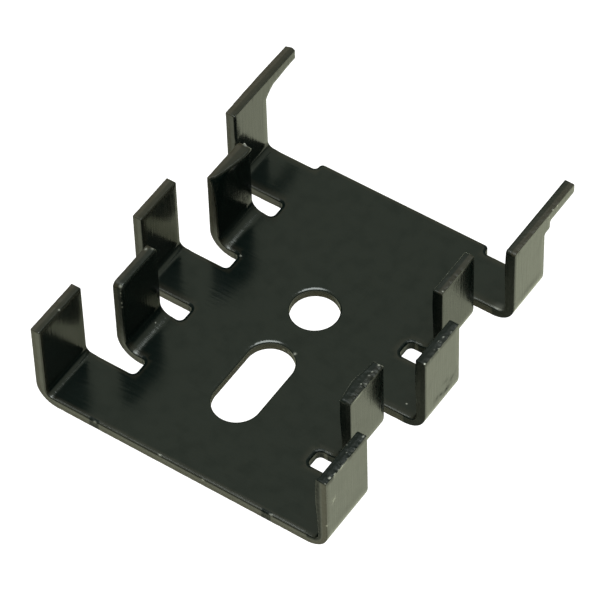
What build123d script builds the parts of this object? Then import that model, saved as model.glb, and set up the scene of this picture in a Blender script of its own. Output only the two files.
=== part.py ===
from build123d import *

import os
from collections import Counter
from dataclasses import dataclass

# Bolt-on transistor heat sink: one blanked and folded sheet of black-anodised aluminium.
#
# A flat base plate carries a round screw hole and a round-ended screw slot. Each long side has five
# fingers folded straight up. The first, third and fifth are folded further out than the second and
# fourth, so that air passes between them. The fifth finger on each side runs on past the plate as a
# narrow pin for a circuit board.
#
# Millimetres. The origin is the middle of the screw hole on the plate's underside. +Z is the way the
# fingers stand, +Y is the way the pins point, and +X is towards the right-hand row of fingers.

# Sheet and its folds, which are pressed tight, so that the sheet is thinner in a fold than in the flat
SHEET = 0.8
OUTER_BEND_INSIDE = 0.55
OUTER_BEND_OUTSIDE = 1.8
INNER_BEND_INSIDE = 0.95
INNER_BEND_OUTSIDE = 2.0
EDGE_BEVEL = 0.15

# Base plate
HOLE_TO_FRONT = 16.9
TAB_REACH = 0.7
TAB_CORNER = 0.34

# Screw hole and the slot in front of it
SCREW_DIAMETER = 3.8
HOLE_TO_SLOT = 5.8
SLOT_TRAVEL = 4.1

# Fingers
OUTER_HALF_SPAN = 12.4
INNER_HALF_SPAN = 10.0
FINGER_HEIGHT = 7.8
FRONT_FINGER_WIDTH = 4.95
MIDDLE_FINGER_WIDTH = 4.3
REAR_FINGER_WIDTH = 4.05
GAP_WIDTH = 1.53
GAP_PAST_FOLD = 0.65
GAP_CORNER = 0.4

# Board pins
PIN_LENGTH = 3.95
PIN_DEPTH = 0.9
PIN_ROOT_RADIUS = 1.7
PIN_TIP_NOSE = 0.3
PIN_TIP_CORNER = 0.2

# Nib that the shear left under the right-hand pin's root
NIB_LENGTH = 0.7
NIB_DROP = 0.75
NIB_CORNER = 0.2

# Rounding of the fingers' top corners, front and back, as the shear and wear left them
CRISP = 0.0
SOFT = 0.25
ROUNDED = 0.45
WORN = 0.55
LEFT_CORNERS = [(CRISP, CRISP), (ROUNDED, SOFT), (CRISP, CRISP), (CRISP, WORN), (CRISP, PIN_TIP_NOSE)]
RIGHT_CORNERS = [(CRISP, SOFT), (SOFT, SOFT), (CRISP, SOFT), (CRISP, CRISP), (ROUNDED, CRISP)]

# What follows from the sizes above
GAP_END = INNER_HALF_SPAN - INNER_BEND_OUTSIDE - GAP_PAST_FOLD
PIN_UNDERSIDE = FINGER_HEIGHT - PIN_DEPTH

# Two places nearer than this are one place
SAME = 1e-6


@dataclass(frozen=True)
class Place:
    """Where a pair of fingers stands along Y, and how far out and how tightly it is folded."""

    front: float
    width: float
    half_span: float
    bend_inside: float
    bend_outside: float

    @property
    def back(self) -> float:
        return self.front + self.width

    @property
    def fold_start(self) -> float:
        return self.half_span - self.bend_outside


def finger_places() -> list[Place]:
    """Five pairs, outer and inner in turn, one gap apart from the plate's front edge on."""
    outer_fold = (OUTER_HALF_SPAN, OUTER_BEND_INSIDE, OUTER_BEND_OUTSIDE)
    inner_fold = (INNER_HALF_SPAN, INNER_BEND_INSIDE, INNER_BEND_OUTSIDE)
    widths = [FRONT_FINGER_WIDTH] + 3 * [MIDDLE_FINGER_WIDTH] + [REAR_FINGER_WIDTH]
    folds = [outer_fold, inner_fold, outer_fold, inner_fold, outer_fold]
    places = []
    front = -HOLE_TO_FRONT
    for width, fold in zip(widths, folds):
        places.append(Place(front, width, *fold))
        front += width + GAP_WIDTH
    return places


def same(one: float, other: float) -> bool:
    return abs(one - other) < SAME


def box(left: float, low: float, right: float, high: float) -> Sketch:
    """A rectangle between two corners of the sketch plane."""
    return Pos(left, low) * Rectangle(right - left, high - low, align=(Align.MIN, Align.MIN))


def rounded(sketch: Sketch, radius: float, places: list[tuple[float, float]]) -> Sketch:
    """The sketch with its corners at the given places rounded to the radius."""
    if not radius:
        return sketch
    corners = sketch.vertices().filter_by(
        lambda corner: any(same(corner.X, x) and same(corner.Y, y) for x, y in places)
    )
    return fillet(corners, radius)


def plate_outline(places: list[Place]) -> Sketch:
    """The flat of the blank: a middle strip, the fingers' feet and the tab at the rear."""
    front, rear = places[0].front, places[-1].back
    outline = box(-GAP_END, front, GAP_END, rear)
    gap_ends = []
    for place, following in zip(places, places[1:] + [None]):
        outline += box(-place.fold_start, place.front, place.fold_start, place.back)
        if following:
            gap_ends += [(side * GAP_END, y) for side in (-1, 1) for y in (place.back, following.front)]
    outline = rounded(outline, GAP_CORNER, gap_ends)
    outline += box(-GAP_END, rear, GAP_END, rear + TAB_REACH)
    tab_corners = [(side * GAP_END, y) for side in (-1, 1) for y in (rear, rear + TAB_REACH)]
    return rounded(outline, TAB_CORNER, tab_corners)


def screw_openings() -> Sketch:
    """The round hole at the origin and the slot in front of it, both one screw clearance wide."""
    slot_middle = -HOLE_TO_SLOT - SLOT_TRAVEL / 2
    slot = SlotCenterToCenter(SLOT_TRAVEL, SCREW_DIAMETER, rotation=90)
    return Circle(SCREW_DIAMETER / 2) + Pos(0, slot_middle) * slot


def fold_section(place: Place) -> Sketch:
    """The folded strip seen along Y: a foot in the plate, the bend and the upright wall."""
    metal = box(GAP_END, 0, place.half_span, FINGER_HEIGHT)
    air = box(GAP_END, SHEET, place.half_span - SHEET, FINGER_HEIGHT)
    metal = rounded(metal, place.bend_outside, [(place.half_span, 0)])
    air = rounded(air, place.bend_inside, [(place.half_span - SHEET, SHEET)])
    return metal - air


def finger_outline(place: Place, front_corner: float, back_corner: float) -> Sketch:
    """A plain finger seen along X, with its two top corners rounded."""
    outline = box(place.front, 0, place.back, FINGER_HEIGHT)
    outline = rounded(outline, front_corner, [(place.front, FINGER_HEIGHT)])
    return rounded(outline, back_corner, [(place.back, FINGER_HEIGHT)])


def pin_finger_outline(place: Place, front_corner: float, nose: float, has_nib: bool) -> Sketch:
    """A rear finger seen along X: its top edge runs on past its back as the board pin."""
    tip = place.back + PIN_LENGTH
    outline = box(place.front, 0, place.back, FINGER_HEIGHT)
    outline += box(place.back, PIN_UNDERSIDE, tip, FINGER_HEIGHT)
    if has_nib:
        nib_end, nib_low = place.back + NIB_LENGTH, PIN_UNDERSIDE - NIB_DROP
        outline += box(place.back, nib_low, nib_end, PIN_UNDERSIDE)
        nib = [(place.back, nib_low), (nib_end, nib_low), (nib_end, PIN_UNDERSIDE)]
        outline = rounded(outline, NIB_CORNER, nib)
        outline = rounded(outline, PIN_TIP_CORNER, [(tip, PIN_UNDERSIDE)])
    else:
        outline = rounded(outline, PIN_ROOT_RADIUS, [(place.back, PIN_UNDERSIDE)])
    outline = rounded(outline, front_corner, [(place.front, FINGER_HEIGHT)])
    return rounded(outline, nose, [(tip, FINGER_HEIGHT)])


def folded_finger(place: Place, outline: Sketch) -> Part:
    """The right-hand finger: the folded section run along Y, kept where the outline covers it."""
    length = place.width + PIN_LENGTH
    section = Plane.XZ.offset(-place.front) * fold_section(place)
    blade = Plane.YZ * outline
    return extrude(section, length, dir=(0, 1, 0)) & extrude(blade, place.half_span, dir=(1, 0, 0))


def finger_row(places: list[Place], corners: list[tuple[float, float]], has_nib: bool) -> list[Part]:
    """The five fingers of one side, as they stand on the right."""
    row = [
        folded_finger(place, finger_outline(place, front_corner, back_corner))
        for place, (front_corner, back_corner) in zip(places[:-1], corners[:-1])
    ]
    front_corner, nose = corners[-1]
    rear = pin_finger_outline(places[-1], front_corner, nose, has_nib)
    return row + [folded_finger(places[-1], rear)]


def is_inside_face(face: Face) -> bool:
    """True for the skin that the punch entered: the plate's top and the fingers' facing sides."""
    if face.geom_type == GeomType.CYLINDER:
        is_bend = same(abs(face.axis_of_rotation.direction.Y), 1)
        return is_bend and any(same(face.radius, size) for size in (OUTER_BEND_INSIDE, INNER_BEND_INSIDE))
    normal, centre = face.normal_at(), face.center()
    if same(normal.Z, 1):
        return same(centre.Z, SHEET)
    return same(abs(normal.X), 1) and normal.X * centre.X < 0 and any(
        same(abs(centre.X), half_span - SHEET) for half_span in (OUTER_HALF_SPAN, INNER_HALF_SPAN)
    )


def with_drawn_in_edges(sheet: Part) -> Part:
    """Bevels every edge that the punch drew in: the border of the inside skin, holes included."""
    uses = Counter(edge for face in sheet.faces() if is_inside_face(face) for edge in face.edges())
    border = [edge for edge, count in uses.items() if count == 1]
    return Part(sheet.chamfer(EDGE_BEVEL, None, border).wrapped)


def heat_sink() -> Part:
    places = finger_places()
    sheet = extrude(plate_outline(places) - screw_openings(), SHEET)
    for finger in finger_row(places, RIGHT_CORNERS, has_nib=True):
        sheet += finger
    for finger in finger_row(places, LEFT_CORNERS, has_nib=False):
        sheet += mirror(finger, about=Plane.YZ)
    return with_drawn_in_edges(sheet)


def main() -> None:
    os.makedirs("parts", exist_ok=True)
    export_step(heat_sink(), "parts/folded_heat_sink.step")


main()
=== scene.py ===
import logging
import math
from collections.abc import Iterable
from dataclasses import dataclass, field
from enum import Enum
from functools import cached_property

import bmesh
import bpy
import numpy as np
from mathutils import Matrix, Vector, noise
from mathutils.geometry import delaunay_2d_cdt
from mathutils.kdtree import KDTree


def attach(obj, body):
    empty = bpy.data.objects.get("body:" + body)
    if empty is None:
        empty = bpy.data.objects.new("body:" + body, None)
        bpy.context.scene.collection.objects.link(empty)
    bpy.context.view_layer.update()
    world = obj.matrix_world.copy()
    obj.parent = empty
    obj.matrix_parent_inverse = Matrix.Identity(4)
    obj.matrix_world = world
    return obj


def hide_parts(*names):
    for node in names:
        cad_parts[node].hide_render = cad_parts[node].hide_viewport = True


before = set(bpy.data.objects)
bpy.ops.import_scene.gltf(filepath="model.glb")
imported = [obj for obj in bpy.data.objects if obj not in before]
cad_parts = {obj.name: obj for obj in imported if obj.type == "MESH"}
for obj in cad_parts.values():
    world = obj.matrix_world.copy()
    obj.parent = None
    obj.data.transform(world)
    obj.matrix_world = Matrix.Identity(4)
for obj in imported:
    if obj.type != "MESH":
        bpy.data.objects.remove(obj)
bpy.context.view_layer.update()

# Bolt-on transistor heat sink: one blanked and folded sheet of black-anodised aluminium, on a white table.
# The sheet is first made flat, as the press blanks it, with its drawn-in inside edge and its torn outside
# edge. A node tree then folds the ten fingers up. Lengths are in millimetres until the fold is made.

NODE = "folded_heat_sink"
BODY = "root"
SLOT = "black_anodised_sheet"
MM = 0.001
SAME = 1e-5
LOG = logging.getLogger("heat_sink")

Point = tuple[float, float]
Corner = tuple[float, float, float]
Colour = tuple[float, float, float]
Socket = bpy.types.NodeSocket
Inputs = dict[str | int, object]


class Side(Enum):
    """The two long sides of the plate, as the sign of X."""

    LEFT = -1
    RIGHT = 1

    @classmethod
    def at(cls, x: float) -> "Side":
        """The side that a place is on."""
        return cls.RIGHT if x > 0 else cls.LEFT


class Skin(Enum):
    """The two faces of the sheet: the one that the punch entered, and the one that it left."""

    INSIDE = 1
    OUTSIDE = 0


@dataclass(frozen=True)
class SheetEdge:
    """The sheet's thickness and the shape of its sheared edge, in millimetres.

    The punch draws the inside edge in, cuts a smooth band and tears the rest of the thickness off. Each
    layer of chips has a scale, a share and a seed. The cuts say how sheared the finish shows each stretch.
    """

    thickness: float = 0.8
    draw_width: float = 0.26
    draw_depth: float = 0.12
    draw_steps: int = 5
    draw_cut: float = 0.3
    smooth_steps: int = 4
    smooth_cut: float = 0.5
    tear_from: float = 0.40
    tear_steps: int = 7
    tear_least: float = 0.01
    tear_fade: float = 0.4
    chips: tuple[tuple[float, float, float], ...] = ((2.3, 0.8, 3.7), (5.9, 0.7, 6.4), (11.0, 0.7, 9.1))
    chip_level: float = 0.40
    waver: float = 0.006
    waver_when_torn: float = 0.16
    waver_scale: Point = (4.0, 6.0)
    spark_scale: Point = (5.0, 4.0)
    spark_from: float = 0.44
    spark_gain: float = 3.0
    spark_most: float = 0.4
    spark_seed: float = 20.0
    spark_least: float = 0.04
    spark_fade: float = 0.06
    break_radius: float = 0.03
    break_steps: int = 3
    break_cut: float = 0.4


@dataclass(frozen=True)
class Scar:
    """A small mark on the blank: a speck of bare metal, a dent, a curl, a smudge or a patch of painted
    shade.

    deep is its reach through the sheet, where that isn't its width. lift raises it off its skin, and rise
    draws it along its turn, which is in degrees. dull is its loss of gloss.
    """

    across: float
    along: float
    level: float
    long: float = 0.10
    wide: float = 0.05
    deep: float | None = None
    turn: float = 0.0
    bare: float = 0.0
    lift: float = 0.0
    rise: float = 0.0
    dull: float = 0.0

    def weight(self, places: np.ndarray) -> np.ndarray:
        """How much of the mark each place has, from 1 in its middle to 0 well outside it.

        Args:
            places: places on the blank with their levels, one per row.

        Returns:
            One share per place.
        """
        turn = math.radians(self.turn)
        x, y = places[:, 0] - self.across, places[:, 1] - self.along
        along = (x * math.cos(turn) + y * math.sin(turn)) / self.long
        beside = (y * math.cos(turn) - x * math.sin(turn)) / self.wide
        through = (places[:, 2] - self.level) / (self.deep or self.wide)
        return np.exp(-(along**2 + beside**2 + through**2))

    @property
    def shift(self) -> np.ndarray:
        """How far the middle of the mark is drawn out of its place."""
        turn = math.radians(self.turn)
        up = self.lift if self.level > SheetEdge.thickness / 2 else -self.lift
        return np.array([self.rise * math.cos(turn), self.rise * math.sin(turn), up])

    def ring_points(self) -> list[Point]:
        """Points in rings round the mark, for the skin's mesh to follow it.

        Returns:
            The places of the points on the blank.
        """
        turn = math.radians(self.turn)
        points = [(self.across, self.along)]
        for reach in (0.5, 1.0, 1.6, 2.4):
            for step in range(8):
                angle = math.pi / 4 * (step + reach)
                u, v = math.cos(angle) * reach * self.long, math.sin(angle) * reach * self.wide
                x = self.across + u * math.cos(turn) - v * math.sin(turn)
                points.append((x, self.along + u * math.sin(turn) + v * math.cos(turn)))
        return points


SPECKS = (
    Scar(-18.87, -14.41, 0.68, long=0.06, bare=0.7),
    Scar(-16.25, -10.27, 0.60, wide=0.10, bare=0.4),
    Scar(-15.71, -10.41, 0.67, wide=0.04, bare=0.45),
    Scar(-15.33, -10.41, 0.68, long=0.05, wide=0.04, bare=0.2),
    Scar(-14.60, -10.41, 0.70, wide=0.04, bare=0.45),
    Scar(-14.14, -10.41, 0.71, long=0.07, wide=0.04, bare=0.4),
    Scar(-16.36, -6.58, 0.18, wide=0.07, turn=90, bare=0.3),
    Scar(-16.33, -6.28, 0.55, wide=0.09, turn=90, bare=0.3),
    Scar(-9.10, -7.36, 0.80, long=0.05, bare=0.5),
    Scar(-7.30, 1.23, 0.80, long=0.06, wide=0.04, turn=15, bare=0.6),
    Scar(-7.36, -16.86, 0.69, long=0.12, bare=0.5),
    Scar(-1.80, -16.79, 0.76, bare=0.5),
    Scar(1.93, -16.88, 0.67, bare=0.5),
    Scar(7.64, -16.82, 0.73, long=0.12, bare=0.5),
    Scar(18.85, -13.30, 0.70, long=0.04, bare=0.5),
    Scar(18.89, -13.54, 0.10, long=0.05, bare=0.5),
    Scar(18.86, -12.08, 0.14, wide=0.06, turn=90, bare=0.4),
    Scar(18.69, -14.92, 0.0, long=0.30, wide=0.07, turn=90, bare=0.5),
    Scar(16.11, -15.97, 0.0, long=0.30, wide=0.04, turn=35, bare=0.5),
    Scar(18.89, -16.87, 0.08, long=0.06, wide=0.06, bare=0.3),
    Scar(18.80, -16.70, 0.70, long=0.05, bare=0.3),
    Scar(14.16, -16.89, 0.0, long=0.06, wide=0.06, bare=0.8),
    Scar(16.36, -6.31, 0.26, long=0.09, wide=0.07, bare=0.6),
    Scar(16.28, -6.18, 0.01, long=0.08, wide=0.08, bare=0.8),
    Scar(16.36, -8.20, 0.09, long=0.09, wide=0.07, bare=0.5),
    Scar(16.19, -9.33, 0.0, long=0.45, wide=0.06, turn=90, bare=0.4),
    Scar(18.89, -4.51, 0.06, long=0.06, wide=0.06, bare=0.8),
    Scar(10.22, -3.58, 0.80, long=0.05, bare=0.7),
    Scar(18.76, 12.75, 0.0, long=0.07, wide=0.06, bare=0.8),
    Scar(18.86, 12.18, 0.0, long=0.07, bare=0.6),
    Scar(18.57, 11.64, 0.0, long=0.07, bare=0.6),
    Scar(16.30, 3.13, 0.78, long=0.06, wide=0.06, bare=0.6),
    Scar(16.36, 1.60, 0.12, long=0.06, bare=0.5),
    Scar(11.15, 7.24, 0.78, long=0.55, wide=0.08, bare=0.3),
    Scar(16.28, -8.40, 0.765, long=1.40, wide=0.035, turn=90, bare=0.25),
    Scar(1.08, -4.13, 0.72, long=0.09, wide=0.07, bare=0.9),
    Scar(-0.03, -3.95, 0.32, long=0.12, wide=0.06, bare=0.35),
    Scar(0.40, -3.99, 0.36, wide=0.06, turn=-10, bare=0.35),
)
DENTS = (
    Scar(16.25, -8.50, 0.80, long=1.45, wide=0.30, turn=90, lift=0.30),
    Scar(14.60, -10.33, 0.80, long=2.2, wide=0.22, lift=0.16),
    Scar(16.80, -16.90, 0.80, long=2.4, wide=0.22, lift=0.20),
    Scar(16.80, -4.59, 0.80, long=2.2, wide=0.22, lift=0.09),
    Scar(14.60, 1.33, 0.80, long=2.2, wide=0.22, lift=0.10),
    Scar(16.80, 7.07, 0.80, long=2.2, wide=0.22, lift=0.09),
    Scar(-16.27, 4.80, 0.80, long=1.7, wide=0.30, turn=90, lift=0.38),
    Scar(-16.36, 1.24, 0.80, long=2.0, wide=0.38, lift=-0.34),
    Scar(-16.30, 1.60, 0.80, long=0.9, wide=0.34, turn=90, lift=-0.22),
    Scar(-16.27, 5.36, 0.42, long=0.06, wide=0.08, turn=180, bare=1.0, rise=0.42),
    Scar(-18.45, 15.07, 0.0, long=0.35, wide=0.8, deep=0.30, turn=-90, rise=0.20),
    Scar(-18.45, 15.07, 0.80, long=0.35, wide=0.8, deep=0.22, turn=-90, rise=0.14),
    Scar(-18.90, 10.80, 0.0, long=3.4, wide=0.34, turn=90, lift=0.06),
    Scar(-18.00, 12.10, 0.80, long=0.30, wide=1.3, rise=0.17),
)
SMUDGES_AND_SHADE = (
    Scar(13.45, -3.05, 0.0, long=0.35, wide=0.25, turn=60, dull=0.7),
    Scar(13.35, -2.50, 0.0, long=0.35, wide=0.20, turn=120, dull=0.8),
    Scar(13.20, -1.75, 0.0, long=0.55, wide=0.25, turn=80, dull=0.85),
    Scar(13.75, -1.10, 0.0, long=0.45, wide=0.20, turn=70, dull=0.7),
    Scar(14.20, -1.90, 0.0, long=0.40, wide=0.18, turn=100, dull=0.5),
    # Painted shade: a darker band low on the fifth right finger's outside face, along its foot.
    Scar(13.30, 9.30, 0.0, long=1.4, wide=0.35, turn=90, dull=0.45),
    # Painted shade: a darker band low on the first right finger's outside face, along its foot.
    Scar(13.40, -14.40, 0.0, long=1.6, wide=0.35, turn=90, dull=0.2),
    # Painted shade: a darker patch high on the rear of the second right finger's outside face.
    Scar(14.50, -7.10, 0.0, long=1.0, wide=0.9, dull=0.45),
)


@dataclass(frozen=True)
class FoldLine:
    """How far out a finger stands, how tightly each of its skins is folded, and how high it is."""

    half_span: float
    bend_inside: float
    bend_outside: float
    height: float = 7.8
    thickness: float = SheetEdge.thickness

    @property
    def start(self) -> float:
        """Where the outside bend starts, from the middle of the plate."""
        return self.half_span - self.bend_outside

    @property
    def run_in(self) -> float:
        """How much of the inside skin is straight on each side of its tighter bend."""
        return self.bend_outside - self.thickness - self.bend_inside

    @property
    def bend_length(self) -> float:
        """The bend's length on the flat blank, midway between the two skins."""
        return (self.bend_inside + self.bend_outside) * math.pi / 4 + self.run_in

    @property
    def reach(self) -> float:
        """Where the finger's top lies on the flat blank, from the middle of the plate."""
        return self.start + self.bend_length + self.height - self.bend_outside


OUTER = FoldLine(half_span=12.4, bend_inside=0.55, bend_outside=1.8)
INNER = FoldLine(half_span=10.0, bend_inside=0.95, bend_outside=2.0)
FOLDS = (OUTER, INNER, OUTER, INNER, OUTER)
CRISP, SOFT, ROUNDED, WORN = 0.1, 0.25, 0.45, 0.55


@dataclass(frozen=True)
class WearAndShade:
    """The radii of a finger's top corners, how torn its top is, and how dull each of its faces is.

    Dullness is 1 where the gloss is gone, 0 where all of it is kept and negative where it shines more. On
    face
    and inner it is painted shade: it darkens the reflections of a finger's outside face and of its inside
    face from high in its bend upwards, where the paper that they mirror lies in shade. The front edge is
    dull from the level front_from up to the inside skin. top_drawn, front_drawn and rear_drawn are how
    much of the drawn-in edge those edges have.
    """

    front_corner: float = CRISP
    back_corner: float = CRISP
    torn: float = 0.02
    front: float = 0.0
    front_from: float = -1.0
    face: float = 0.0
    inner: float = 0.0
    top: float = 0.0
    top_drawn: float = 1.0
    front_drawn: float = 1.0
    rear_drawn: float = 0.2


# The inner values are painted shade on the inside faces of the second, fourth and fifth left fingers.
LEFT_WEAR_AND_SHADE = (
    WearAndShade(front=0.08, top=0.05, front_drawn=0.65),
    WearAndShade(ROUNDED, SOFT, front=0.20, inner=0.60, top=0.18),
    WearAndShade(front=0.14),
    WearAndShade(CRISP, WORN, inner=0.74, top=0.05),
    WearAndShade(front=0.14, inner=0.18, top=-0.15, top_drawn=0.2),
)
# The face values are painted shade on the outside faces of the second and fourth right fingers.
RIGHT_WEAR_AND_SHADE = (
    WearAndShade(CRISP, SOFT, torn=0.10, front=0.68, front_from=0.45, top=0.50, front_drawn=0.5),
    WearAndShade(SOFT, SOFT, torn=0.14, front=0.65, face=0.22, top=0.37),
    WearAndShade(CRISP, SOFT, torn=0.08, front=0.55, top=0.43),
    WearAndShade(torn=0.03, front=0.68, face=0.54, top=0.20),
    WearAndShade(SOFT, CRISP, torn=0.03, front=0.45, top=0.10, top_drawn=0.2),
)


@dataclass(frozen=True)
class Finger:
    """One finger of a side: where it stands, how it is folded, how it is worn and where shade is painted on
    it.
    """

    side: Side
    front: float
    width: float
    fold: FoldLine
    wear_and_shade: WearAndShade

    @property
    def back(self) -> float:
        """The finger's rear edge along Y."""
        return self.front + self.width


def rough(x: float, y: float, scale: float, level: float) -> float:
    """Noise at a place on the blank."""
    return noise.noise(Vector((x * scale, y * scale, level)))


def arc(centre: Point, radius: float, start: float, sweep: float, pitch: float) -> list[Point]:
    """Points along a circular arc, both ends included.

    Args:
        centre: the arc's centre.
        radius: its radius.
        start: the angle of its first point, in radians.
        sweep: the angle that it covers, positive for anticlockwise.
        pitch: the longest step between two points.

    Returns:
        The points in order.
    """
    steps = max(6, math.ceil(abs(sweep) * radius / pitch))
    angles = [start + sweep * step / steps for step in range(steps + 1)]
    return [(centre[0] + radius * math.cos(a), centre[1] + radius * math.sin(a)) for a in angles]


def rounded_path(corners: list[Corner], pitch: float) -> list[Point]:
    """A closed outline through corners that are each rounded by an arc.

    Args:
        corners: x, y and radius of each corner, in order.
        pitch: the longest step between two points.

    Returns:
        The outline's points in order, the first not repeated.
    """
    path: list[Point] = []
    count = len(corners)
    for index, (x, y, radius) in enumerate(corners):
        here = np.array((x, y))
        before = np.array(corners[index - 1][:2]) - here
        after = np.array(corners[(index + 1) % count][:2]) - here
        before /= np.linalg.norm(before)
        after /= np.linalg.norm(after)
        half = math.acos(float(np.clip(before @ after, -1, 1))) / 2
        middle = before + after
        centre = here + middle / np.linalg.norm(middle) * radius / math.sin(half)
        first = here + before * radius / math.tan(half)
        turn = math.copysign(math.pi - 2 * half, float(before[1] * after[0] - before[0] * after[1]))
        start = math.atan2(*(first - centre)[::-1])
        path += arc((float(centre[0]), float(centre[1])), radius, start, turn, pitch)
    return path


def divided(points: np.ndarray, counts: Iterable[int]) -> np.ndarray:
    """A closed path with each of its runs divided.

    Args:
        points: the path's points, one per row.
        counts: how many parts each run gets.

    Returns:
        An array of points, one per row.
    """
    dense = []
    for here, there, count in zip(points, np.roll(points, -1, 0), counts):
        dense += [here + (there - here) * step / count for step in range(count)]
    return np.array(dense)


def resampled(path: list[Point], pitch: float, spots: np.ndarray, reach: float) -> np.ndarray:
    """The closed path with its long runs divided, and with three times as many points near some places.

    Args:
        path: the corners of a closed path.
        pitch: the longest step to leave.
        spots: the places.
        reach: how near a point has to be.

    Returns:
        An array of points, one per row.
    """
    points = np.array(path)
    points = points[np.linalg.norm(points - np.roll(points, 1, 0), axis=1) > SAME]
    lengths = [float(np.linalg.norm(there - here)) for here, there in zip(points, np.roll(points, -1, 0))]
    points = divided(points, [max(1, math.ceil(length / pitch)) for length in lengths])
    near = [np.linalg.norm(spots - here, axis=1).min() < reach for here in points]
    return divided(points, [3 if is_near else 1 for is_near in near])


def outward(points: np.ndarray) -> np.ndarray:
    """The mitred direction out of the metal at each point of a closed path with the metal on its left.

    Args:
        points: the path's points, one per row.

    Returns:
        One vector per point: moving by it shifts both neighbouring runs by one unit.
    """
    along = np.roll(points, -1, 0) - points
    along /= np.linalg.norm(along, axis=1, keepdims=True)
    normal = np.stack([along[:, 1], -along[:, 0]], 1)
    before = np.roll(normal, 1, 0)
    mitre = normal + before
    mitre /= np.linalg.norm(mitre, axis=1, keepdims=True)
    return mitre / np.maximum(np.sum(mitre * normal, axis=1, keepdims=True), 0.5)


def clearance(points: np.ndarray, path: np.ndarray) -> np.ndarray:
    """Each point's distance from a closed path.

    Args:
        points: the points to measure.
        path: the closed path's corners.

    Returns:
        One distance per point.
    """
    run = np.roll(path, -1, 0) - path
    length = np.maximum(np.sum(run * run, axis=1), SAME**2)
    nearest = np.full(len(points), np.inf)
    for low in range(0, len(points), 256):
        part = points[low : low + 256, None, :] - path[None]
        share = np.clip(np.sum(part * run[None], axis=2) / length, 0, 1)
        gap = np.linalg.norm(part - share[..., None] * run[None], axis=2)
        nearest[low : low + 256] = gap.min(axis=1)
    return nearest


def inset(path: np.ndarray, direction: np.ndarray, distance: np.ndarray) -> np.ndarray:
    """The path moved into the metal, with the loops that this makes at tight corners closed up.

    Args:
        path: the closed path's points.
        direction: the direction out of the metal at each point.
        distance: how far to move each point.

    Returns:
        As many points as the path has; those of a tight corner share a place.
    """
    moved = path - direction * distance[:, None]
    good = np.flatnonzero(clearance(moved, path) > distance * 0.998 - SAME)
    ahead = good[np.searchsorted(good, np.arange(len(path))) % len(good)]
    behind = good[np.searchsorted(good, np.arange(len(path)), side="right") - 1]
    index = np.arange(len(path))
    nearer = (ahead - index) % len(path) <= (index - behind) % len(path)
    return moved[np.where(nearer, ahead, behind)]


def is_inside(points: np.ndarray, paths: Iterable[np.ndarray]) -> np.ndarray:
    """True for each point that lies in the metal, by counting the paths' crossings.

    Args:
        points: the points to test.
        paths: the closed paths that bound the metal.

    Returns:
        One truth value per point.
    """
    inside = np.zeros(len(points), bool)
    x, y = points[:, :1], points[:, 1:]
    for path in paths:
        ax, ay = path[:, 0], path[:, 1]
        bx, by = np.roll(ax, -1), np.roll(ay, -1)
        rise = np.where(by == ay, SAME, by - ay)
        crosses = ((ay > y) != (by > y)) & (x < ax + (y - ay) * (bx - ax) / rise)
        inside ^= crosses.sum(axis=1) % 2 == 1
    return inside


@dataclass(frozen=True)
class Row:
    """A row of vertices round a path, at some level of the sheared edge."""

    flat: np.ndarray
    level: float
    cut: float = 1.0
    bare: np.ndarray | float = 0.0


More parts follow.
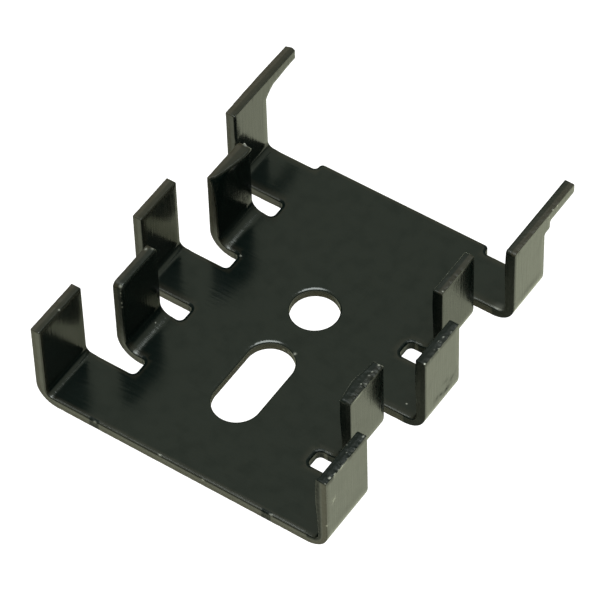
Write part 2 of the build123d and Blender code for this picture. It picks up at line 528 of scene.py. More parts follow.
@dataclass(frozen=True)
class Shear:
    """The sheared edge round one closed path, with its measures at each of the path's points.

    drawn is the share of the drawn-in edge, ragged the greatest depth of tearing and torn its real depth.
    """

    path: np.ndarray
    edge: SheetEdge
    drawn: np.ndarray
    ragged: np.ndarray
    torn: np.ndarray

    @cached_property
    def direction(self) -> np.ndarray:
        """The direction out of the metal at each point."""
        return outward(self.path)

    def rows(self) -> list[Row]:
        """The rows of vertices from the inside skin to the outside skin."""
        return self.drawn_rows() + self.sheared_rows() + self.broken_rows()

    def drawn_rows(self) -> list[Row]:
        """The rows of the rounded edge that the punch drew in.

        Returns:
            The rows, the one on the inside skin first.
        """
        edge, rows = self.edge, []
        for step in range(edge.draw_steps + 1):
            angle = math.pi / 2 * step / edge.draw_steps
            flat = inset(self.path, self.direction, self.drawn * edge.draw_width * (1 - math.sin(angle)))
            rows.append(Row(flat, edge.thickness - edge.draw_depth * (1 - math.cos(angle)), edge.draw_cut))
        return rows

    def sheared_rows(self) -> list[Row]:
        """The rows of the smooth band and of the torn one below it.

        Returns:
            The rows, going down.
        """
        edge, rows = self.edge, []
        smooth = (edge.thickness - edge.draw_depth, edge.tear_from, edge.smooth_steps, 0.0)
        torn = (edge.tear_from, edge.break_radius, edge.tear_steps, 1.0)
        for high, low, count, tearing in (smooth, torn):
            for step in range(1, count + 1):
                share = step / count
                level = high + (low - high) * share
                flat = self.path - self.retreat(level, tearing * share**2)
                rows.append(Row(flat, level, max(edge.smooth_cut, tearing), self.sparks(level) * tearing))
        return rows

    def broken_rows(self) -> list[Row]:
        """The rows of the outside edge, which is broken a little.

        Returns:
            The rows, the one on the outside skin last.
        """
        edge, rows = self.edge, []
        for step in range(1, edge.break_steps + 1):
            angle = math.pi / 2 * step / edge.break_steps
            level = edge.break_radius * (1 - math.sin(angle))
            inwards = np.full(len(self.path), edge.break_radius * (1 - math.cos(angle)))
            flat = inset(self.path, self.direction, inwards) - self.retreat(0.0, 1.0)
            cut = 1.0 if step < edge.break_steps else edge.break_cut
            rows.append(Row(flat, level, cut, self.sparks(level)))
        return rows

    def retreat(self, level: float, share: float) -> np.ndarray:
        """How far the sheared wall lies back from the path at a level.

        Args:
            level: the level in the sheet.
            share: how much of the torn depth there is at that level.

        Returns:
            One vector per point, out of the metal.
        """
        flat, up = self.edge.waver_scale
        waves = np.array([0.5 + rough(x, y, flat, level * up) for x, y in self.path])
        depth = self.torn * share + (self.edge.waver + self.ragged * self.edge.waver_when_torn) * waves
        return self.direction * depth[:, None]

    def sparks(self, level: float) -> np.ndarray:
        """How bare the metal is at each point of a ragged edge.

        Args:
            level: the level in the sheet.

        Returns:
            One share per point.
        """
        edge, (flat, up) = self.edge, self.edge.spark_scale
        flecks = np.array([rough(x, y, flat, edge.spark_seed + level * up) for x, y in self.path])
        shown = np.clip((self.ragged - edge.spark_least) / edge.spark_fade, 0, 1)
        return np.clip((flecks - edge.spark_from) * edge.spark_gain, 0, edge.spark_most) * shown


@dataclass
class FlatMesh:
    """The blank as a mesh under construction: places, faces and what the finish reads at each vertex."""

    places: list[np.ndarray] = field(default_factory=list)
    faces: list[tuple[int, ...]] = field(default_factory=list)
    cut: list[np.ndarray] = field(default_factory=list)
    bare: list[np.ndarray] = field(default_factory=list)
    count: int = 0

    def add(self, row: Row) -> int:
        """Adds a row of vertices.

        Args:
            row: the row.

        Returns:
            The first new vertex's number.
        """
        first, size = self.count, len(row.flat)
        self.places.append(np.column_stack([row.flat, np.full(size, row.level)]))
        self.cut.append(np.full(size, row.cut))
        self.bare.append(np.full(size, 0.0) + row.bare)
        self.count += size
        return first

    def band(self, rows: list[Row]) -> tuple[int, int]:
        """Adds rows of vertices, each with as many as the next, and joins them by faces.

        Args:
            rows: the closed rows, from the inside skin to the outside skin.

        Returns:
            The first vertex of the first row and that of the last.
        """
        firsts = [self.add(row) for row in rows]
        size = len(rows[0].flat)
        for upper, lower in zip(firsts, firsts[1:]):
            for index in range(size):
                after = (index + 1) % size
                self.faces.append((upper + index, lower + index, lower + after, upper + after))
        return firsts[0], firsts[-1]


@dataclass(frozen=True)
class Blank:
    """The flat blank: its outline, its two screw openings and its sheared edge, in millimetres."""

    edge: SheetEdge = SheetEdge()
    opening_edge: SheetEdge = SheetEdge(draw_width=0.33, draw_depth=0.14, draw_cut=0.0)
    scars: tuple[Scar, ...] = SPECKS + DENTS + SMUDGES_AND_SHADE
    hole_to_front: float = 16.9
    tab_half_width: float = 7.35
    tab_reach: float = 0.7
    tab_corner: float = 0.34
    screw_radius: float = 1.85
    hole_to_slot: float = 5.8
    slot_travel: float = 4.1
    widths: tuple[float, ...] = (4.95, 4.3, 4.3, 4.3, 4.05)
    left_trims: tuple[Point, ...] = ((0.0, 0.0),) * 5
    right_trims: tuple[Point, ...] = ((0.0, 0.15), (0.09, 0.0), (0.0, 0.15), (0.09, 0.0), (0.0, 0.0))
    gap_width: float = 1.53
    left_gap_end: float = 7.45
    right_gap_end: float = 7.25
    gap_corner: float = 0.4
    pin_length: float = 3.95
    pin_depth: float = 0.9
    pin_root: float = 0.92
    pin_nose: float = 0.1
    pin_corner: float = 0.2
    nib_length: float = 0.7
    nib_drop: float = 0.75
    near_edge: float = 0.05
    pitch: float = 0.10
    bend_columns: int = 12
    column: float = 0.45

    @cached_property
    def rows(self) -> dict[Side, list[Finger]]:
        """The five fingers of each side, from the front."""
        return {side: self.row(side) for side in Side}

    def row(self, side: Side) -> list[Finger]:
        """Places the fingers of a side, each a little later or longer than its pitch where the blank is so.

        Args:
            side: the side of the plate.

        Returns:
            The five fingers, from the front.
        """
        is_right = side is Side.RIGHT
        trims, wear_and_shade_rows = (self.right_trims, RIGHT_WEAR_AND_SHADE) if is_right else (self.left_trims, LEFT_WEAR_AND_SHADE)
        front = -self.hole_to_front
        made = []
        for width, fold, wear_and_shade, (late, longer) in zip(self.widths, FOLDS, wear_and_shade_rows, trims):
            made.append(Finger(side, front + late, width + longer - late, fold, wear_and_shade))
            front += width + self.gap_width
        return made

    def gap_end(self, side: Side) -> float:
        """How far from the plate's middle a side's gaps end."""
        return self.right_gap_end if side is Side.RIGHT else self.left_gap_end

    def side_corners(self, side: Side) -> list[Corner]:
        """The corners of one side of the blank, from the front edge to the tab.

        Args:
            side: the side of the plate.

        Returns:
            x, y and radius of each corner.
        """
        fingers = self.rows[side]
        end = self.gap_end(side)
        corners = []
        for finger, following in zip(fingers, fingers[1:]):
            top, wear_and_shade = finger.fold.reach, finger.wear_and_shade
            corners += [(top, finger.front, wear_and_shade.front_corner), (top, finger.back, wear_and_shade.back_corner)]
            corners += [(end, finger.back, self.gap_corner), (end, following.front, self.gap_corner)]
        corners += self.pin_corners(fingers[-1])
        tab_ends = (fingers[-1].back, fingers[-1].back + self.tab_reach)
        corners += [(self.tab_half_width, y, self.tab_corner) for y in tab_ends]
        return [(side.value * x, y, radius) for x, y, radius in corners]

    def pin_corners(self, finger: Finger) -> list[Corner]:
        """The corners of a rear finger with its board pin, as it lies on the right.

        Args:
            finger: the rear finger.

        Returns:
            x, y and radius of each corner.
        """
        top, tip = finger.fold.reach, finger.back + self.pin_length
        under = top - self.pin_depth
        corners = [(top, finger.front, finger.wear_and_shade.front_corner)]
        if finger.side is Side.RIGHT:
            nib_low, nib_end = under - self.nib_drop, finger.back + self.nib_length
            corners += [(top, tip, CRISP), (under, tip, self.pin_corner), (under, nib_end, self.pin_corner)]
            corners += [(nib_low, nib_end, self.pin_corner), (nib_low, finger.back, self.pin_corner)]
        else:
            root = self.pin_root
            corners += [(top, tip, self.pin_nose), (under, tip, CRISP)]
            corners += [(under, finger.back + root, SOFT), (under - root, finger.back, SOFT)]
        return corners

    def paths(self) -> list[np.ndarray]:
        """The outline and the two openings, each with the metal on its left.

        Returns:
            Three arrays of points.
        """
        corners = self.side_corners(Side.RIGHT) + self.side_corners(Side.LEFT)[::-1]
        spots = np.array([(scar.across, scar.along) for scar in self.scars if scar.bare])
        outline = rounded_path(corners, self.pitch)
        radius = self.screw_radius
        hole = arc((0, 0), radius, 0, -2 * math.pi, self.pitch)[:-1]
        near, far = -self.hole_to_slot, -self.hole_to_slot - self.slot_travel
        slot = arc((0, near), radius, math.pi, -math.pi, self.pitch)
        slot += arc((0, far), radius, 0, -math.pi, self.pitch)
        return [resampled(path, self.pitch, spots, 2.5 * self.pitch) for path in (outline, hole, slot)]

    def finger_at(self, x: float, y: float) -> Finger | None:
        """The finger that a place on the blank belongs to.

        Args:
            x: the place across the blank.
            y: the place along it.

        Returns:
            The finger, or None on the plate.
        """
        side = Side.at(x)
        if abs(x) < self.gap_end(side):
            return None
        row = self.rows[side]
        return next((finger for finger in row[:-1] if y < finger.back + self.gap_width / 2), row[-1])

    def fold_at(self, x: float, y: float) -> FoldLine:
        """How the sheet is folded at a place; the plate counts with the outer fingers."""
        finger = self.finger_at(x, y)
        return finger.fold if finger else OUTER

    def tear_at(self, x: float, y: float) -> float:
        """The greatest depth of tearing on the outside edge: more on a finger's top, away from its corners.

        Args:
            x: the place across the blank.
            y: the place along it.

        Returns:
            The depth.
        """
        finger = self.finger_at(x, y)
        if finger is None or abs(x) < finger.fold.reach - self.edge.tear_least:
            return self.edge.tear_least
        ahead = y - finger.front - finger.wear_and_shade.front_corner
        behind = finger.back - finger.wear_and_shade.back_corner - y
        fade = min(1.0, max(0.0, min(ahead, behind) / self.edge.tear_fade))
        return self.edge.tear_least + finger.wear_and_shade.torn * fade

    def chipped(self, x: float, y: float) -> float:
        """How much of the greatest depth is torn off at a place."""
        layers = [share * rough(x, y, scale, seed) for scale, share, seed in self.edge.chips]
        return max(0.0, self.edge.chip_level + sum(layers))

    def drawn_at(self, x: float, y: float) -> float:
        """How much of the full drawn-in edge there is at a place on the border.

        Args:
            x: the place across the blank.
            y: the place along it.

        Returns:
            A share from 0 to 1.
        """
        finger = self.finger_at(x, y)
        if finger is None or abs(x) < finger.fold.start:
            return 1.0
        is_pin = finger.back + self.near_edge < y < finger.back + self.pin_length - 2 * self.near_edge
        if is_pin or abs(x) > finger.fold.reach - self.near_edge:
            return finger.wear_and_shade.top_drawn
        if y - finger.front < self.near_edge:
            return finger.wear_and_shade.front_drawn
        return finger.wear_and_shade.rear_drawn if finger.back - y < self.near_edge else 1.0

    def sheared(self, path: np.ndarray, edge: SheetEdge) -> Shear:
        """A path's sheared edge, with what each of its points has of drawing in and tearing.

        Args:
            path: the closed path.
            edge: the shape of the sheared edge.

        Returns:
            The sheared edge.
        """
        shares = np.array([self.drawn_at(x, y) for x, y in path])
        drawn = sum(np.roll(shares, shift) for shift in (-2, -1, 0, 1, 2)) / 5
        ragged = np.array([self.tear_at(x, y) for x, y in path])
        torn = np.array([self.chipped(x, y) for x, y in path]) * ragged
        return Shear(path, edge, drawn, ragged, torn)

    def inner_points(self, path_rows: list[np.ndarray]) -> np.ndarray:
        """The points inside a skin's borders, in rows that the bends need.

        Args:
            path_rows: the skin's borders.

        Returns:
            An array of points.
        """
        tip = self.rows[Side.LEFT][-1].back + self.pin_length
        rows = np.arange(-self.hole_to_front, tip, self.column)
        points = []
        for fold in (OUTER, INNER):
            turn = fold.bend_length
            bend = [fold.start + turn * step / self.bend_columns for step in range(self.bend_columns + 1)]
            plate = np.arange(self.column / 2, fold.start - self.column / 2, self.column)
            wall = np.arange(bend[-1] + self.column, fold.reach, self.column)
            across = np.concatenate([plate, bend, wall])
            across = np.concatenate([-across[::-1], across])
            points += [(x, y, fold) for x in across for y in rows]
        flat = np.array([(x, y) for x, y, fold in points if self.fold_at(x, y) is fold])
        flat = flat[is_inside(flat, path_rows)]
        borders = np.concatenate(path_rows)
        tree = KDTree(len(borders))
        for index, (x, y) in enumerate(borders):
            tree.insert((x, y, 0), index)
        tree.balance()
        far = [tree.find((x, y, 0))[2] > self.pitch for x, y in flat]
        return flat[np.array(far)]

    def scar_points(self, skin: Skin, path_rows: list[np.ndarray]) -> np.ndarray:
        """The extra points that a skin needs round its scars.

        Args:
            skin: the skin.
            path_rows: the skin's borders.

        Returns:
            An array of points.
        """
        level = self.edge.thickness * skin.value
        rings = [scar.ring_points() for scar in self.scars if abs(scar.level - level) < SAME]
        points = np.array([point for ring in rings for point in ring]).reshape(-1, 2)
        points = points[is_inside(points, path_rows)]
        near = np.min([clearance(points, row) for row in path_rows], axis=0) if len(points) else np.zeros(0)
        return points[near > self.pitch / 3]

    def cover(self, mesh: FlatMesh, skin: Skin, firsts: list[int], counts: list[int]) -> None:
        """Adds a skin between its borders.

        Args:
            mesh: the mesh, which already holds the borders.
            skin: the skin to add.
            firsts: the first vertex of each border.
            counts: the number of vertices of each border.
        """
        places = np.concatenate(mesh.places)
        rows = [places[first : first + count, :2] for first, count in zip(firsts, counts)]
        inner = np.concatenate([self.inner_points(rows), self.scar_points(skin, rows)])
        first_inner = mesh.add(Row(inner, self.edge.thickness * skin.value, 0.0))
        numbers = [number for first, count in zip(firsts, counts) for number in range(first, first + count)]
        numbers += list(range(first_inner, first_inner + len(inner)))
        edges = []
        start = 0
        for count in counts:
            edges += [(start + index, start + (index + 1) % count) for index in range(count)]
            start += count
        flat = np.concatenate([*rows, inner])
        points = [Vector(place) for place in flat]
        _, _, triangles, sources, _, _ = delaunay_2d_cdt(points, edges, [], 0, SAME)
        origins = [source[0] if source else None for source in sources]
        triangles = [[origins[corner] for corner in triangle] for triangle in triangles]
        triangles = np.array([triangle for triangle in triangles if None not in triangle])
        middles = flat[triangles].mean(axis=1)
        for triangle in triangles[is_inside(middles, rows)]:
            corners = [numbers[corner] for corner in triangle]
            mesh.faces.append(tuple(corners if skin is Skin.INSIDE else corners[::-1]))

    def build(self) -> FlatMesh:
        """The whole blank as a closed mesh.

        Returns:
            The mesh, with doubles still in its tight corners.
        """
        mesh = FlatMesh()
        paths = self.paths()
        edges = (self.edge, self.opening_edge, self.opening_edge)
        borders = [mesh.band(self.sheared(path, edge).rows()) for path, edge in zip(paths, edges)]
        counts = [len(path) for path in paths]
        self.cover(mesh, Skin.INSIDE, [first for first, _ in borders], counts)
        self.cover(mesh, Skin.OUTSIDE, [last for _, last in borders], counts)
        return mesh


class NodeKit:
    """Adds nodes to a tree and fills their inputs."""

    def __init__(self, tree: bpy.types.NodeTree) -> None:
        """Takes the tree."""
        self.tree = tree

    def fill(self, node: bpy.types.Node, inputs: Inputs) -> bpy.types.Node:
        """Joins or sets some of a node's inputs.

        Args:
            node: the node.
            inputs: a socket to join or a value to set for each input, by the input's name or number.

        Returns:
            The node.
        """
        for key, value in inputs.items():
            if isinstance(value, Socket):
                self.tree.links.new(value, node.inputs[key])
            else:
                node.inputs[key].default_value = value
        return node

    def add(self, kind: str, inputs: Inputs, **settings: str | bool) -> bpy.types.Node:
        """Adds a node.

        Args:
            kind: the node's type.
            inputs: what to join or set at its inputs.
            settings: its own settings.

        Returns:
            The node.
        """
        node = self.tree.nodes.new(kind)
        for name, value in settings.items():
            setattr(node, name, value)
        return self.fill(node, inputs)

    def math(self, operation: str, *values: Socket | float, clamp: bool = False) -> Socket:
        """Adds a Math node.

        Args:
            operation: the operation's name.
            values: sockets or numbers, in order.
            clamp: whether the result is kept from 0 to 1.

        Returns:
            The result.
        """
        inputs = dict(enumerate(values))
        return self.add("ShaderNodeMath", inputs, operation=operation, use_clamp=clamp).outputs[0]

    def ranged(self, value: Socket, old: Point, new: Point, **settings: str) -> Socket:
        """A value moved from one range into another."""
        ends = {"From Min": old[0], "From Max": old[1], "To Min": new[0], "To Max": new[1]}
        return self.add("ShaderNodeMapRange", {"Value": value, **ends}, **settings).outputs[0]

    def blend(self, share: Socket, first: Socket | Colour, second: Socket | Colour) -> Socket:
        """A blend of two colours."""
        ends = (colour if isinstance(colour, Socket) else (*colour, 1) for colour in (first, second))
        inputs = {"Factor": share, **dict(zip((6, 7), ends))}
        return self.add("ShaderNodeMix", inputs, data_type="RGBA").outputs[2]


class FoldTree(NodeKit):
    """The node tree that folds the flat blank into the heat sink."""

    SIZES = ("Half Span", "Inside Radius", "Outside Radius")

    def __init__(self) -> None:
        """Makes the tree with its named sizes and its inputs and outputs."""
        super().__init__(bpy.data.node_groups.new("Fold the fingers", "GeometryNodeTree"))
        self.tree.is_modifier = True
        face = self.tree.interface
        face.new_socket("Blank", in_out="INPUT", socket_type="NodeSocketGeometry")
        for name in ("Thickness", *(f"{row} {size}" for row in ("Outer", "Inner") for size in self.SIZES)):
            face.new_socket(name, in_out="INPUT", socket_type="NodeSocketFloat")
        face.new_socket("Finish", in_out="INPUT", socket_type="NodeSocketMaterial")
        face.new_socket("Heat Sink", in_out="OUTPUT", socket_type="NodeSocketGeometry")
        self.source = self.tree.nodes.new("NodeGroupInput")
        self.build()

    def choose(self, share: Socket, size: str) -> Socket:
        """A size of the inner or the outer row.

        Args:
            share: 0 in the inner row and 1 in the outer row.
            size: the size's name.

        Returns:
            The size for each vertex.
        """
        low, high = (self.source.outputs[f"{row} {size}"] for row in ("Inner", "Outer"))
        return self.mixed(low, high, share)

    def mixed(self, low: Socket, high: Socket, share: Socket) -> Socket:
        """A value between two others."""
        return self.math("MULTIPLY_ADD", self.math("SUBTRACT", high, low), share, low)

    def turned(self, gone: Socket, radius: Socket) -> tuple[Socket, Socket]:
        """How far out and up a quarter turn goes, and straight up after it.

        Args:
            gone: the length gone since the turn's start.
            radius: the turn's radius.

        Returns:
            The distance out and the distance up.
        """
        length = self.math("MULTIPLY", radius, math.pi / 2)
        angle = self.math("DIVIDE", self.math("MINIMUM", self.math("MAXIMUM", gone, 0.0), length), radius)
        rest = self.math("MAXIMUM", self.math("SUBTRACT", gone, length), 0.0)
        up = self.math("SUBTRACT", radius, self.math("MULTIPLY", radius, self.math("COSINE", angle)))
        return self.math("MULTIPLY", radius, self.math("SINE", angle)), self.math("ADD", up, rest)

    def build(self) -> None:
        """Adds the nodes: each vertex goes round its bend, and then straight up."""
        row = self.add("GeometryNodeInputNamedAttribute", {"Name": "outer_row"}, data_type="FLOAT")
        share = row.outputs["Attribute"]
        position = self.add("GeometryNodeInputPosition", {}).outputs[0]
        across, along, level = self.add("ShaderNodeSeparateXYZ", {0: position}).outputs
        thickness = self.source.outputs["Thickness"]
        span, inside, outside = (self.choose(share, size) for size in self.SIZES)
        run_in = self.math("SUBTRACT", self.math("SUBTRACT", outside, thickness), inside)
        inside_length = self.math("MULTIPLY_ADD", inside, math.pi / 2, self.math("MULTIPLY", run_in, 2.0))
        outside_length = self.math("MULTIPLY", outside, math.pi / 2)
        length = self.math("MULTIPLY", self.math("ADD", inside_length, outside_length), 0.5)
        start = self.math("SUBTRACT", span, outside)
        reach = self.math("ABSOLUTE", across)
        foot = self.math("MINIMUM", reach, start)
        past = self.math("MAXIMUM", self.math("SUBTRACT", reach, start), 0.0)
        turn = self.math("DIVIDE", self.math("MINIMUM", past, length), length)
        rise = self.math("MAXIMUM", self.math("SUBTRACT", past, length), 0.0)
        gone = self.math("MULTIPLY", turn, inside_length)
        lead = self.math("MINIMUM", gone, run_in)
        inside_out, inside_up = self.turned(self.math("SUBTRACT", gone, lead), inside)
        outside_out, outside_up = self.turned(self.math("MULTIPLY", turn, outside_length), outside)
        depth = self.math("DIVIDE", level, thickness)
        out = self.math("ADD", foot, self.mixed(outside_out, self.math("ADD", inside_out, lead), depth))
        up = self.math("ADD", self.mixed(outside_up, self.math("ADD", inside_up, thickness), depth), rise)
        folded = {0: self.math("MULTIPLY", out, self.math("SIGN", across)), 1: along, 2: up}
        join = self.add("ShaderNodeCombineXYZ", folded).outputs[0]
        moved = {"Geometry": self.source.outputs["Blank"], "Position": join}
        place = self.add("GeometryNodeSetPosition", moved).outputs[0]
        real = self.add("GeometryNodeRealizeInstances", {0: place}).outputs[0]
        dressed = {"Geometry": real, "Material": self.source.outputs["Finish"]}
        self.add("NodeGroupOutput", {0: self.add("GeometryNodeSetMaterial", dressed).outputs[0]})

    def apply(self, piece: bpy.types.Object, values: dict[str, float | bpy.types.Material]) -> None:
        """Folds a piece and turns the result into its plain mesh.

        Args:
            piece: the flat piece.
            values: the tree's inputs by name.
        """
        modifier = piece.modifiers.new("Fold", "NODES")
        modifier.node_group = self.tree
        for item in self.tree.interface.items_tree:
            if item.in_out == "INPUT" and item.name in values:
                modifier[item.identifier] = values[item.name]
        graph = bpy.context.evaluated_depsgraph_get()
        folded = bpy.data.meshes.new_from_object(piece.evaluated_get(graph))
        piece.modifiers.remove(modifier)
        piece.data = folded


@dataclass(frozen=True)
class Anodising:
    """The black anodised film: a thin dyed glass-hard skin over rolled aluminium."""

    colour: Colour = (0.0015, 0.0035, 0.0032)
    index: float = 1.52
    skin_roughness: float = 0.17
    cut_roughness: float = 0.48
    cut_colour: Colour = (0.019, 0.0135, 0.006)
    cut_cleared: float = -2.2
    metal: Colour = (0.72, 0.70, 0.66)
    grain_across: float = 5.0
    grain_along: float = 0.35
    grain_spread: float = 0.06
    grain_height: float = 0.012
    wrinkle_across: float = 12.0
    wrinkle_along: float = 0.7
    wrinkle_height: float = 0.031
    mottle_scale: float = 7.0
    mottle_share: float = 0.45
    smudge_scale: float = 0.9
    smudge_share: float = 0.22
    smudge_span: Point = (0.45, 0.80)
    film_level: float = 0.60
    patch_span: Point = (0.3, 0.7)
    patch_dullness: Point = (0.88, 1.12)
    flecks: float = 0.15
    crumb_scale: float = 15.0
    crumb_height: float = 0.012

    def material(self) -> bpy.types.Material:
        """The finish as a node material.

        Returns:
            The material.
        """
        material = bpy.data.materials.new(SLOT)
        material.use_nodes = True
        nodes = FilmNodes(material.node_tree, self)
        even = nodes.ranged(nodes.cut, (0.0, 1.0), (self.skin_roughness, self.cut_roughness))
        spread = nodes.ranged(nodes.grain, (0.0, 1.0), (-self.grain_spread, self.grain_spread))
        nodes.fill(material.node_tree.nodes["Principled BSDF"], {
            "Base Color": nodes.colour(),
            "Metallic": nodes.bare,
            "Roughness": nodes.math("ADD", even, spread),
            "IOR": self.index,
            "Specular IOR Level": nodes.gloss(),
            "Normal": nodes.relief(),
        })
        return material


class FilmNodes(NodeKit):
    """The nodes of the anodised film, which read the mesh's attributes."""

    def __init__(self, tree: bpy.types.NodeTree, film: Anodising) -> None:
        """Adds what the film's parts share: the attributes, the mottle and the rolling grain.

        Args:
            tree: the material's tree.
            film: the film's sizes and colours.
        """
        super().__init__(tree)
        self.film = film
        self.blank = self.attribute("blank", "Vector")
        self.bare, self.cut, self.dull, self.bend = map(self.attribute, ("bare", "cut", "dull", "bend"))
        self.mottle = self.noise(self.blank, film.mottle_scale, 3.0)
        grain = self.scaled(self.blank, (film.grain_along, film.grain_across, film.grain_across))
        self.grain = self.noise(grain, 1.0, 4.0)

    def attribute(self, name: str, output: str = "Fac") -> Socket:
        """A mesh attribute, as a number or a vector."""
        return self.add("ShaderNodeAttribute", {}, attribute_name=name).outputs[output]

    def noise(self, place: Socket, scale: float, detail: float) -> Socket:
        """Noise at a place."""
        inputs = {"Vector": place, "Scale": scale, "Detail": detail}
        return self.add("ShaderNodeTexNoise", inputs).outputs[0]

    def scaled(self, place: Socket, scale: tuple[float, float, float]) -> Socket:
        """A place with each axis scaled."""
        return self.add("ShaderNodeMapping", {"Vector": place, "Scale": scale}).outputs[0]

    def raised(self, height: Socket, most: float, share: Socket | float = 1.0, **under: Socket) -> Socket:
        """Adds relief.

        Args:
            height: the relief.
            most: its greatest height in millimetres.
            share: how strong it is at each place.
            under: the surface's direction without it, as Normal.

        Returns:
            The surface's direction with it.
        """
        inputs = {"Height": height, "Distance": most * MM, "Strength": share, **under}
        return self.add("ShaderNodeBump", inputs).outputs[0]

    def colour(self) -> Socket:
        """Adds the mottled dye, its warmer shade on sheared metal that isn't dull, and bare metal.

        Returns:
            The colour.
        """
        film = self.film
        thin = tuple(part * (1 - film.mottle_share) for part in film.colour)
        thick = tuple(part * (1 + film.mottle_share) for part in film.colour)
        warm = self.math("MULTIPLY_ADD", self.dull, film.cut_cleared, self.cut, clamp=True)
        dye = self.blend(warm, self.blend(self.mottle, thin, thick), film.cut_colour)
        return self.blend(self.bare, dye, film.metal)

    def gloss(self) -> Socket:
        """Adds the film's gloss, less in broad smudges and where the dull attribute lowers it; on some
        finger faces that lowering is painted shade.

        Returns:
            The gloss.
        """
        film = self.film
        ends = (film.film_level, film.film_level * (1 - film.smudge_share))
        whole = self.ranged(self.noise(self.blank, film.smudge_scale, 5.0), film.smudge_span, ends)
        patchy = self.ranged(self.mottle, film.patch_span, film.patch_dullness)
        lost = self.math("MULTIPLY", self.math("ADD", self.dull, film.flecks), patchy, clamp=True)
        return self.math("SUBTRACT", whole, self.math("MULTIPLY", lost, whole))

    def relief(self) -> Socket:
        """Adds the rolling grain, the wrinkles in the bends and the crumbs of the sheared edge.

        Returns:
            The surface's direction.
        """
        film = self.film
        squeezed = self.scaled(self.blank, (film.wrinkle_along, film.wrinkle_across, 1))
        wrinkle = self.noise(squeezed, 1.0, 3.0)
        crumb = self.noise(self.blank, film.crumb_scale, 2.0)
        rolled = self.raised(self.grain, film.grain_height)
        folded = self.raised(wrinkle, film.wrinkle_height, self.bend, Normal=rolled)
        return self.raised(crumb, film.crumb_height, self.cut, Normal=folded)


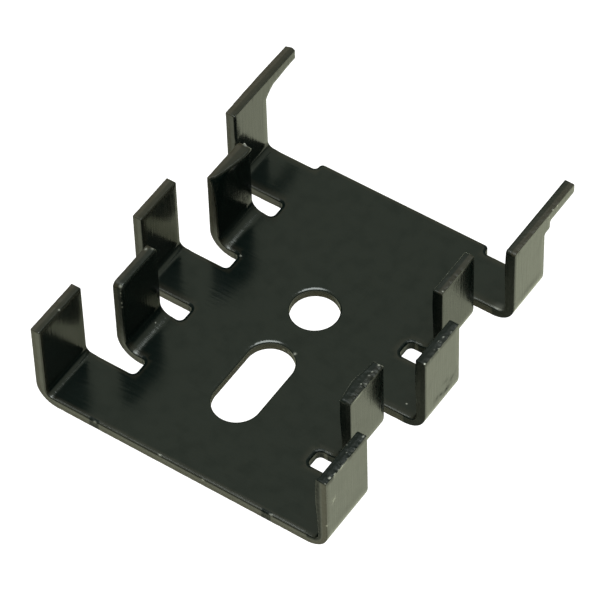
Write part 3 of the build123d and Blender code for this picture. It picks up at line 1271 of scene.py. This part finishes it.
@dataclass(frozen=True)
class HeatSink:
    """The heat sink: the blank, folded, with its finish."""

    blank: Blank = Blank()
    finish: Anodising = Anodising()
    weld: float = 0.002
    gap_rim_dulling: float = 0.6
    top_band: float = 0.15
    skin_band: float = 0.1
    # inner_from and inner_fade place the painted shade on the left fingers' inside faces: where it starts,
    # from the bend's end, and how far it takes to fade in.
    inner_from: float = -1.0
    inner_fade: float = 1.2
    wrinkle_front: float = 1.2
    wrinkle_fall: float = 0.6
    wrinkle_outer: float = 0.25

    def build(self) -> bpy.types.Object:
        """Builds the piece and puts it in the CAD node's place.

        Returns:
            The finished object.
        """
        flat = self.blank.build()
        places = np.concatenate(flat.places)
        bare = np.concatenate(flat.bare)
        # Dullness lowers the film's gloss: painted shade on some finger faces, duller tops, front edges and
        # gap rims, and the smudges added below.
        dull = np.array([self.dulled(*place) for place in places])
        moved = places.copy()
        for scar in self.blank.scars:
            weight = scar.weight(places)
            bare = np.maximum(bare, weight * scar.bare)
            dull = np.maximum(dull, weight * scar.dull)
            moved += weight[:, None] * scar.shift
        mesh = bpy.data.meshes.new("sheet")
        mesh.from_pydata(moved.tolist(), [], flat.faces)
        self.store(mesh, "blank", places)
        self.store(mesh, "cut", np.concatenate(flat.cut))
        self.store(mesh, "bare", bare)
        self.store(mesh, "dull", dull)
        self.store(mesh, "bend", np.array([self.bent(*place) for place in places]))
        self.store(mesh, "outer_row", np.array([self.blank.fold_at(x, y) is OUTER for x, y, _ in places]))
        self.clean(mesh)
        piece = bpy.data.objects.new("heat_sink", mesh)
        bpy.context.collection.objects.link(piece)
        FoldTree().apply(piece, self.sizes())
        piece.data.transform(Matrix.Scale(MM, 4))
        piece.data.shade_smooth()
        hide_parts(NODE)
        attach(piece, BODY)
        report(piece)
        return piece

    def sizes(self) -> dict[str, float | bpy.types.Material]:
        """The fold's sizes and the finish, as the node tree names them.

        Returns:
            The tree's inputs by name.
        """
        sizes = {"Thickness": self.blank.edge.thickness, "Finish": self.finish.material()}
        for row, fold in (("Outer", OUTER), ("Inner", INNER)):
            ends = (fold.half_span, fold.bend_inside, fold.bend_outside)
            sizes |= {f"{row} {size}": end for size, end in zip(FoldTree.SIZES, ends)}
        return sizes

    def bent(self, x: float, y: float, level: float) -> float:
        """How much a place lies in the inside of a bend.

        Args:
            x: the place across the blank.
            y: the place along it.
            level: its level in the sheet.

        Returns:
            The wrinkles' strength, 0 outside the bends.
        """
        finger = self.blank.finger_at(x, y)
        if finger is None or level <= self.blank.edge.thickness / 2:
            return 0.0
        turn = (abs(x) - finger.fold.start) / finger.fold.bend_length
        most = self.wrinkle_front - self.wrinkle_fall * (y - finger.front) / finger.width
        share = 1.0 if finger.fold is INNER else self.wrinkle_outer
        return math.sin(turn * math.pi) * most * share if 0 < turn < 1 else 0.0

    def dulled(self, x: float, y: float, level: float) -> float:
        """How dull the film is drawn at a place; on some finger faces this is painted shade.

        Args:
            x: the place across the blank.
            y: the place along it.
            level: its level in the sheet.

        Returns:
            A dullness as Wear has it.
        """
        blank, finger = self.blank, self.blank.finger_at(x, y)
        if finger is None or abs(x) < finger.fold.start:
            # The walls at the gaps' ends are drawn duller, with less gloss and without the warm tint of
            # sheared metal.
            is_rim = abs(abs(x) - blank.gap_end(Side.at(x))) < blank.gap_corner
            return self.gap_rim_dulling if is_rim and 0 < level < blank.edge.thickness else 0.0
        wear_and_shade, fold = finger.wear_and_shade, finger.fold
        above_bend = abs(x) - fold.start - fold.bend_length
        if abs(x) > fold.reach - self.top_band:
            return wear_and_shade.top
        if y - finger.front < blank.near_edge:
            return wear_and_shade.front * min(1.0, max(0.0, (level - wear_and_shade.front_from) / self.skin_band))
        # The outside face: painted shade where the finger's face value is set.
        if level < self.skin_band:
            return wear_and_shade.face
        # The inside face from high in the bend upwards: painted shade that fades in.
        if level > blank.edge.thickness - self.skin_band and above_bend > self.inner_from:
            return wear_and_shade.inner * min(1.0, (above_bend - self.inner_from) / self.inner_fade)
        return 0.0

    def store(self, mesh: bpy.types.Mesh, name: str, values: np.ndarray) -> None:
        """Stores a number or a vector per vertex on a mesh.

        Args:
            mesh: the mesh.
            name: the attribute's name.
            values: one row per vertex.
        """
        kind, key = ("FLOAT", "value") if values.ndim == 1 else ("FLOAT_VECTOR", "vector")
        mesh.attributes.new(name, kind, "POINT").data.foreach_set(key, values.astype(np.float32).ravel())

    def clean(self, mesh: bpy.types.Mesh) -> None:
        """Merges the doubles of the tight corners and turns every face outwards.

        Args:
            mesh: the flat mesh.
        """
        work = bmesh.new()
        work.from_mesh(mesh)
        bmesh.ops.remove_doubles(work, verts=work.verts, dist=self.weld)
        bmesh.ops.recalc_face_normals(work, faces=work.faces)
        open_edges = sum(not edge.is_manifold for edge in work.edges)
        work.to_mesh(mesh)
        work.free()
        LOG.info("flat blank: %d faces, %d open edges", len(mesh.polygons), open_edges)


def report(piece: bpy.types.Object) -> None:
    """Logs a finished piece's size in millimetres and its faces.

    Args:
        piece: the piece.
    """
    sizes = " x ".join(f"{size / MM:.2f}" for size in piece.dimensions)
    LOG.info("%s: %s mm, %d faces", piece.name, sizes, len(piece.data.polygons))


@dataclass(frozen=True)
class Table:
    """The white paper some way under the heat sink, so bright that the photograph clips it, in metres."""

    size: float = 1.6
    drop: float = 0.013
    paper: Colour = (0.83, 0.80, 0.65)
    white: Colour = (1.3, 1.3, 1.3)

    def build(self) -> bpy.types.Object:
        """Builds the table top.

        Returns:
            The object.
        """
        half = self.size / 2
        corners = [(-half, -half), (half, -half), (half, half), (-half, half)]
        mesh = bpy.data.meshes.new("table_top")
        mesh.from_pydata([(x, y, -self.drop) for x, y in corners], [], [(0, 1, 2, 3)])
        table = bpy.data.objects.new("table_top", mesh)
        bpy.context.collection.objects.link(table)
        material = bpy.data.materials.new("white_table")
        material.use_nodes = True
        nodes = NodeKit(material.node_tree)
        nodes.tree.nodes.clear()
        paper = nodes.add("ShaderNodeBsdfDiffuse", {"Color": (*self.paper, 1)}).outputs[0]
        white = nodes.add("ShaderNodeEmission", {"Color": (*self.white, 1)}).outputs[0]
        seen = nodes.add("ShaderNodeLightPath", {}).outputs["Is Camera Ray"]
        shown = nodes.add("ShaderNodeMixShader", {0: seen, 1: paper, 2: white}).outputs[0]
        nodes.add("ShaderNodeOutputMaterial", {"Surface": shown})
        mesh.materials.append(material)
        report(table)
        return table


@dataclass(frozen=True)
class Studio:
    """The room's soft light and one round softbox overhead, in metres."""

    room: Colour = (0.50, 0.55, 0.42)
    walls: Colour = (0.15, 0.17, 0.13)
    walls_top: float = 0.15
    room_from: float = 0.62
    box_colour: Colour = (0.92, 1.0, 0.97)
    box_radiance: float = 8.5
    box_height: float = 1.0
    box_radius: float = 0.375
    box_tilt: float = math.radians(5)
    box_azimuth: float = math.radians(58)

    def build(self) -> None:
        """Adds the room's light and the softbox, and keeps the picture's tones as they are."""
        world = bpy.data.worlds.new("room")
        world.use_nodes = True
        nodes = NodeKit(world.node_tree)
        direction = nodes.add("ShaderNodeTexCoord", {}).outputs["Generated"]
        up = nodes.add("ShaderNodeSeparateXYZ", {0: direction}).outputs["Z"]
        span = (self.walls_top, self.room_from)
        height = nodes.ranged(up, span, (0.0, 1.0), interpolation_type="SMOOTHSTEP")
        tone = nodes.blend(height, self.walls, self.room)
        nodes.fill(world.node_tree.nodes["Background"], {"Color": tone})
        bpy.context.scene.world = world
        bpy.context.scene.view_settings.view_transform = "Standard"

        light = bpy.data.lights.new("softbox", "AREA")
        light.shape = "DISK"
        light.size = 2 * self.box_radius
        light.color = self.box_colour
        light.energy = self.box_radiance * math.pi * math.pi * self.box_radius**2
        lamp = bpy.data.objects.new("softbox", light)
        lean = math.sin(self.box_tilt)
        right, back = math.sin(self.box_azimuth) * lean, math.cos(self.box_azimuth) * lean
        away = Vector((right, -back, math.cos(self.box_tilt)))
        lamp.location = away * self.box_height
        lamp.rotation_euler = away.to_track_quat("Z", "Y").to_euler()
        bpy.context.collection.objects.link(lamp)
        LOG.info("softbox %.2f m up, %.2f m across", self.box_height, light.size)


@dataclass(frozen=True)
class PhotoCamera:
    """The photograph's camera, as fitted to the heat sink's edges.

    Angles are in degrees, the lens and the sensor in millimetres, and the distance and shifts in metres.
    """

    azimuth: float = 35.4985
    elevation: float = 50.8657
    roll: float = -1.9274
    distance: float = 0.315932
    lens: float = 263.105
    sensor: float = 36.0
    shift_right: float = -0.001079
    shift_up: float = 0.001183

    def build(self) -> bpy.types.Object:
        """Adds the camera.

        Returns:
            The camera object.
        """
        around, up_by, roll = (math.radians(angle) for angle in (self.azimuth, self.elevation, self.roll))
        flat = math.cos(up_by)
        back = Vector((math.sin(around) * flat, -math.cos(around) * flat, math.sin(up_by)))
        level = Vector((math.cos(around), math.sin(around), 0))
        above = back.cross(level)
        right = level * math.cos(roll) + above * math.sin(roll)
        up = above * math.cos(roll) - level * math.sin(roll)
        data = bpy.data.cameras.new("photo_camera")
        data.lens = self.lens
        data.sensor_width = self.sensor
        data.clip_start = 0.01
        data.dof.use_dof = False
        camera = bpy.data.objects.new("photo_camera", data)
        place = back * self.distance + right * self.shift_right + up * self.shift_up
        turn = Matrix((right, up, back)).transposed().to_4x4()
        camera.matrix_world = Matrix.Translation(place) @ turn
        bpy.context.collection.objects.link(camera)
        bpy.context.scene.camera = camera
        return camera


def main() -> None:
    """Builds the heat sink, the table, the light and the camera."""
    logging.basicConfig(level=logging.INFO, format="%(name)s: %(message)s")
    HeatSink().build()
    Table().build()
    Studio().build()
    PhotoCamera().build()


if __name__ == "__main__":
    main()
